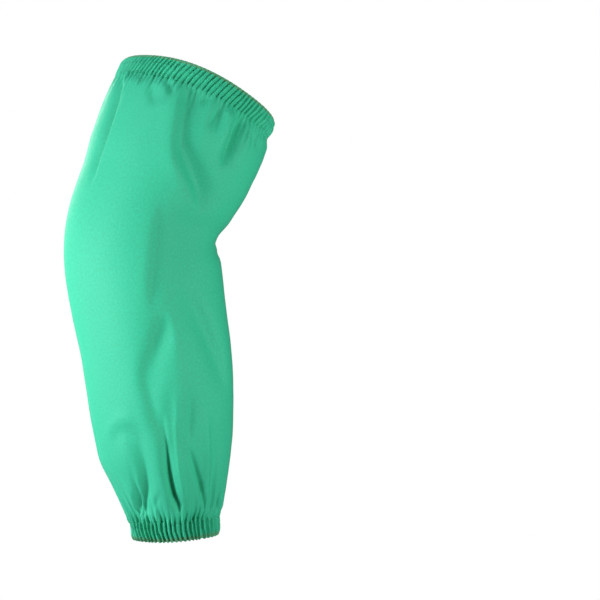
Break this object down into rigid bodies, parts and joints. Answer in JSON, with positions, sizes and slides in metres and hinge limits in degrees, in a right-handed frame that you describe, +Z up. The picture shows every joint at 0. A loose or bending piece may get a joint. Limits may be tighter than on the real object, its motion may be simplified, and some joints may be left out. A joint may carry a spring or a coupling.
{
  "type": "welding sleeve",
  "caption": "Protective sleeve for one arm: a bent, roomy cotton tube with a gathered elastic cuff at the upper arm and a narrower one at the wrist.",
  "frame": {"origin": "middle of the upper opening's rim, where the arm goes in", "axes": "+Z up along the sleeve from wrist to upper arm; the bend lies in the XZ plane with the outside of the elbow towards -X; -Y is the face that the picture shows"},
  "size_m": [0.2108, 0.1227, 0.4795],
  "materials": {
    "cotton_cloth": "matt green flame-resistant cotton sateen, plain dyed",
    "gathered_cloth": "the same green cotton, shirred over elastic with rows of green thread"
  },
  "bodies": {
    "root": {"sleeve_body": "cotton_cloth", "arm_cuff": "gathered_cloth", "wrist_cuff": "gathered_cloth"}
  },
  "joints": []
}
